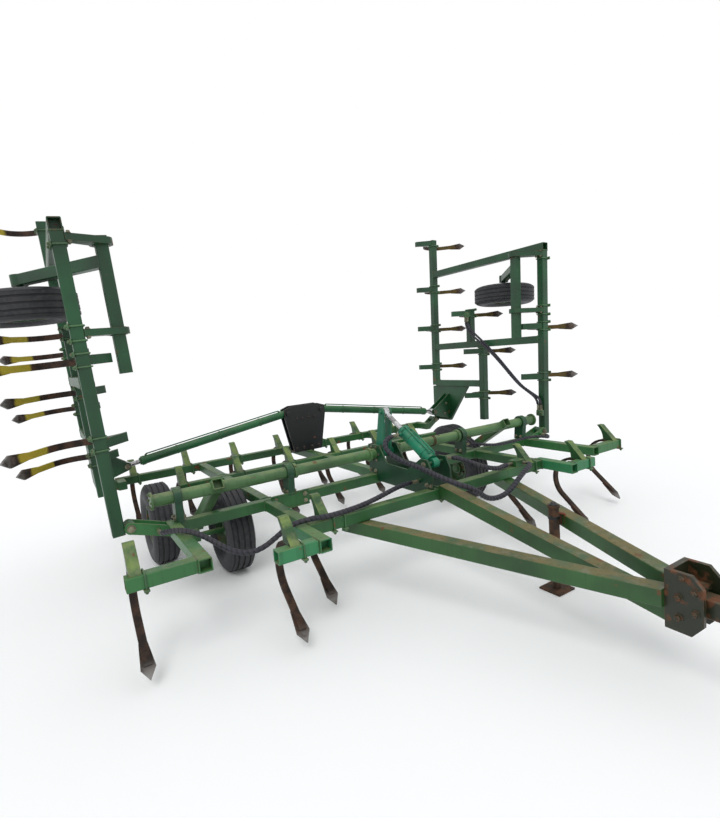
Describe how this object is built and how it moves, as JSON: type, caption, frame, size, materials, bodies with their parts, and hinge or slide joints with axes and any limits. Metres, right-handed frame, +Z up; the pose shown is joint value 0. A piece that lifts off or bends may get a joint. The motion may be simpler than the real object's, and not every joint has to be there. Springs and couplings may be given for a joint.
{
  "type": "towed field cultivator with folding wings",
  "caption": "Towed field cultivator with two wings folded upright, walking tandem wheels, lift and folding cylinders, and C-shank tines.",
  "frame": {"origin": "on the ground, on the centreline, half-way along the machine", "axes": "+X to the right seen from behind, +Y to the rear, +Z up; the drawbar points along -Y"},
  "size_m": [6.3546, 6.0418, 3.4776],
  "materials": {
    "dark_paint": "worn",
    "green_paint": "worn",
    "hose": "matte",
    "rim_paint": "worn",
    "rod": "polished",
    "rusty_steel": "rusty",
    "spring_steel": "worn",
    "teal_paint": "satin",
    "tyre": "worn"
  },
  "bodies": {
    "frame": {"drawbar": "rusty_steel", "drawbar_head": "rusty_steel", "fold_mast": "dark_paint", "holders_main": "green_paint", "hose_base": "hose", "hose_left": "hose", "hose_loop": "hose", "hose_right": "hose", "jack_tube": "rusty_steel", "longitudinal_centre": "green_paint", "longitudinal_left": "green_paint", "longitudinal_right": "green_paint", "rail_1": "green_paint", "rail_2": "green_paint", "rail_3": "green_paint", "rail_4": "green_paint", "shaft_bearings": "green_paint", "shanks_main": "spring_steel", "side_plates": "green_paint", "tongue_centre": "green_paint", "tongue_left": "green_paint", "tongue_right": "green_paint"},
    "rockshaft": {"rockshaft": "green_paint"},
    "lift_barrel": {"lift_barrel": "teal_paint"},
    "lift_rod": {"lift_rod": "rod"},
    "jack": {"jack_leg": "rusty_steel"},
    "tandem_left": {"tandem_left": "green_paint"},
    "wheel_left_inner": {"tyre_left_inner": "tyre", "rim_left_inner": "rim_paint"},
    "wheel_left_outer": {"tyre_left_outer": "tyre", "rim_left_outer": "rim_paint"},
    "wing_left": {"wing_left_beams": "dark_paint", "wing_left_foot": "dark_paint", "wing_left_holders": "dark_paint", "wing_left_rail_front": "dark_paint", "wing_left_rail_middle": "dark_paint", "wing_left_rail_rear": "dark_paint", "wing_left_shanks": "spring_steel"},
    "wing_arm_left": {"wing_left_wheel_arm": "dark_paint"},
    "wing_wheel_left": {"wing_left_tyre": "tyre", "wing_left_rim": "rim_paint"},
    "fold_barrel_left": {"fold_barrel_left": "green_paint"},
    "fold_rod_left": {"fold_rod_left": "rod"},
    "tandem_right": {"tandem_right": "green_paint"},
    "wheel_right_inner": {"tyre_right_inner": "tyre", "rim_right_inner": "rim_paint"},
    "wheel_right_outer": {"tyre_right_outer": "tyre", "rim_right_outer": "rim_paint"},
    "wing_right": {"wing_right_beams": "dark_paint", "wing_right_foot": "dark_paint", "wing_right_holders": "dark_paint", "wing_right_rail_front": "dark_paint", "wing_right_rail_middle": "dark_paint", "wing_right_rail_rear": "dark_paint", "wing_right_shanks": "spring_steel"},
    "wing_arm_right": {"wing_right_wheel_arm": "dark_paint"},
    "wing_wheel_right": {"wing_right_tyre": "tyre", "wing_right_rim": "rim_paint"},
    "fold_barrel_right": {"fold_barrel_right": "green_paint"},
    "fold_rod_right": {"fold_rod_right": "rod"}
  },
  "joints": [
    {"name": "lift", "type": "hinge", "parent": "frame", "child": "rockshaft", "pos_m": [0, 0.486, 0.92], "axis": [1, 0, 0], "range_deg": [-10, 12]},
    {"name": "lift_barrel_turn", "type": "hinge", "parent": "frame", "child": "lift_barrel", "pos_m": [0, -0.28, 0.92], "axis": [1, 0, 0], "range_deg": [-8, 8]},
    {"name": "lift_rod_slide", "type": "slide", "parent": "lift_barrel", "child": "lift_rod", "axis": [0, 0.8619, 0.507], "range_m": [-0.15, 0.15]},
    {"name": "jack_slide", "type": "slide", "parent": "frame", "child": "jack", "axis": [0, 0, 1], "range_m": [0, 0.18]},
    {"name": "tandem_left_walk", "type": "hinge", "parent": "rockshaft", "child": "tandem_left", "pos_m": [-1.755, 1.346, 0.395], "axis": [1, 0, 0], "range_deg": [-12, 12]},
    {"name": "wheel_left_inner_spin", "type": "hinge", "parent": "tandem_left", "child": "wheel_left_inner", "pos_m": [-1.44, 0.996, 0.395], "axis": [1, 0, 0], "continuous": true},
    {"name": "wheel_left_outer_spin", "type": "hinge", "parent": "tandem_left", "child": "wheel_left_outer", "pos_m": [-1.94, 1.696, 0.395], "axis": [1, 0, 0], "continuous": true},
    {"name": "wing_left_fold", "type": "hinge", "parent": "frame", "child": "wing_left", "pos_m": [-2.325, 0, 0.76], "axis": [0, -1, 0], "range_deg": [0, 87.1]},
    {"name": "wing_left_lift", "type": "hinge", "parent": "wing_left", "child": "wing_arm_left", "pos_m": [-2.22543, 0.665, 2.74758], "axis": [0.0506, 0, -0.9987], "range_deg": [-10, 12]},
    {"name": "wing_wheel_left_spin", "type": "hinge", "parent": "wing_arm_left", "child": "wing_wheel_left", "pos_m": [-2.77858, 1.365, 2.49928], "axis": [0.0506, 0, -0.9987], "continuous": true},
    {"name": "fold_barrel_left_turn", "type": "hinge", "parent": "frame", "child": "fold_barrel_left", "pos_m": [-0.23, 2.26, 1.22], "axis": [0, -1, 0], "range_deg": [-15, 15]},
    {"name": "fold_rod_left_slide", "type": "slide", "parent": "fold_barrel_left", "child": "fold_rod_left", "axis": [-0.9876, 0, -0.1571], "range_m": [-0.01, 0.366]},
    {"name": "tandem_right_walk", "type": "hinge", "parent": "rockshaft", "child": "tandem_right", "pos_m": [1.755, 1.346, 0.395], "axis": [1, 0, 0], "range_deg": [-12, 12]},
    {"name": "wheel_right_inner_spin", "type": "hinge", "parent": "tandem_right", "child": "wheel_right_inner", "pos_m": [1.44, 0.996, 0.395], "axis": [1, 0, 0], "continuous": true},
    {"name": "wheel_right_outer_spin", "type": "hinge", "parent": "tandem_right", "child": "wheel_right_outer", "pos_m": [1.94, 1.696, 0.395], "axis": [1, 0, 0], "continuous": true},
    {"name": "wing_right_fold", "type": "hinge", "parent": "frame", "child": "wing_right", "pos_m": [2.325, 0, 0.76], "axis": [0, 1, 0], "range_deg": [0, 87.1]},
    {"name": "wing_right_lift", "type": "hinge", "parent": "wing_right", "child": "wing_arm_right", "pos_m": [2.22543, 0.665, 2.74758], "axis": [0.0506, 0, 0.9987], "range_deg": [-10, 12]},
    {"name": "wing_wheel_right_spin", "type": "hinge", "parent": "wing_arm_right", "child": "wing_wheel_right", "pos_m": [2.77858, 1.365, 2.49928], "axis": [0.0506, 0, 0.9987], "continuous": true},
    {"name": "fold_barrel_right_turn", "type": "hinge", "parent": "frame", "child": "fold_barrel_right", "pos_m": [0.23, 2.26, 1.22], "axis": [0, 1, 0], "range_deg": [-15, 15]},
    {"name": "fold_rod_right_slide", "type": "slide", "parent": "fold_barrel_right", "child": "fold_rod_right", "axis": [0.9876, 0, -0.1571], "range_m": [-0.01, 0.366]}
  ],
  "couplings": [
    {"joint": "lift_barrel_turn", "follows": "lift", "ratio": 0.15207},
    {"joint": "lift_rod_slide", "follows": "lift", "m_per_rad": -0.39019},
    {"joint": "wing_left_lift", "follows": "lift", "ratio": 1},
    {"joint": "fold_barrel_left_turn", "follows": "wing_left_fold", "ratio": -0.035193},
    {"joint": "fold_rod_left_slide", "follows": "wing_left_fold", "m_per_rad": 0.23403},
    {"joint": "wing_right_lift", "follows": "lift", "ratio": 1},
    {"joint": "fold_barrel_right_turn", "follows": "wing_right_fold", "ratio": -0.035193},
    {"joint": "fold_rod_right_slide", "follows": "wing_right_fold", "m_per_rad": 0.23403}
  ]
}
